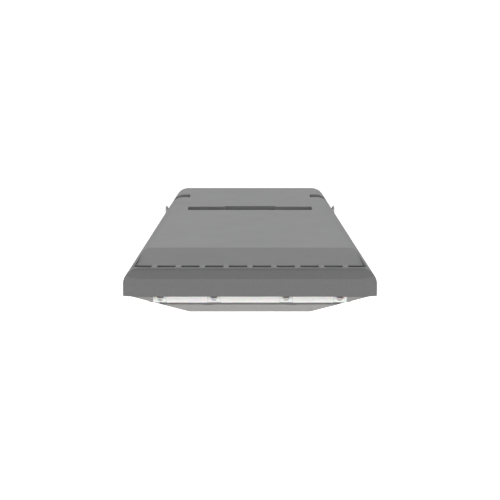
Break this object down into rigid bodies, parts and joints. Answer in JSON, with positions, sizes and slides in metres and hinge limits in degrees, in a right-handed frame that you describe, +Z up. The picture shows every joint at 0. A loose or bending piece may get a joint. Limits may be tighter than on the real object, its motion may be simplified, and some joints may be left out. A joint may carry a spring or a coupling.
{
  "type": "led street light head",
  "caption": "Wedge-shaped LED street light head with a ribbed nose, a lens panel underneath and a drop-down gear door, for a horizontal mast arm.",
  "frame": {"origin": "centre of the mast arm socket's mouth, in the plane of the head's rear face", "axes": "+Y out of the socket's mouth along the mast arm, +X to the right seen from the nose, +Z up; the flat top is level"},
  "size_m": [0.3294, 0.56, 0.199],
  "materials": {
    "paint": "satin grey powder coat with a fine grain",
    "plate": "plain",
    "board": "white solder mask",
    "emitter": "phosphor",
    "lens": "milky polycarbonate",
    "rubber": "matt",
    "steel": "stainless",
    "zinc": "zinc plated sheet",
    "case": "moulded",
    "dark_case": "moulded"
  },
  "bodies": {
    "head": {"housing": "paint", "led_frame": "paint", "led_tray": "plate", "led_board": "board", "led_emitters": "emitter", "lens_cover": "lens", "lens_seal": "rubber", "lens_screws": "steel", "tray_screws": "steel", "frame_screws": "steel", "board_screws": "steel", "gear_plate": "zinc", "plate_screws": "steel", "driver": "case", "surge_protector": "dark_case", "terminal_block": "case", "cord_clamp": "dark_case", "gear_screws": "steel", "arm_bolts": "steel", "lock_nuts": "steel", "lead_grommet": "rubber", "breather_vent": "dark_case", "earth_screw": "steel"},
    "door": {"gear_door": "paint", "door_seal": "rubber", "hinge_rod": "steel", "latch_pins": "steel"},
    "left_clip": {"left_latch": "steel"},
    "right_clip": {"right_latch": "steel"}
  },
  "joints": [
    {"name": "door_hinge", "type": "hinge", "parent": "head", "child": "door", "pos_m": [0, -0.29, -0.05551], "axis": [-1, 0, 0], "range_deg": [0, 70]},
    {"name": "left_latch_hinge", "type": "hinge", "parent": "door", "child": "left_clip", "pos_m": [-0.12613, -0.0645, -0.006], "axis": [0, -1, 0], "range_deg": [0, 75]},
    {"name": "right_latch_hinge", "type": "hinge", "parent": "door", "child": "right_clip", "pos_m": [0.12613, -0.0645, -0.006], "axis": [0, 1, 0], "range_deg": [0, 75]}
  ]
}
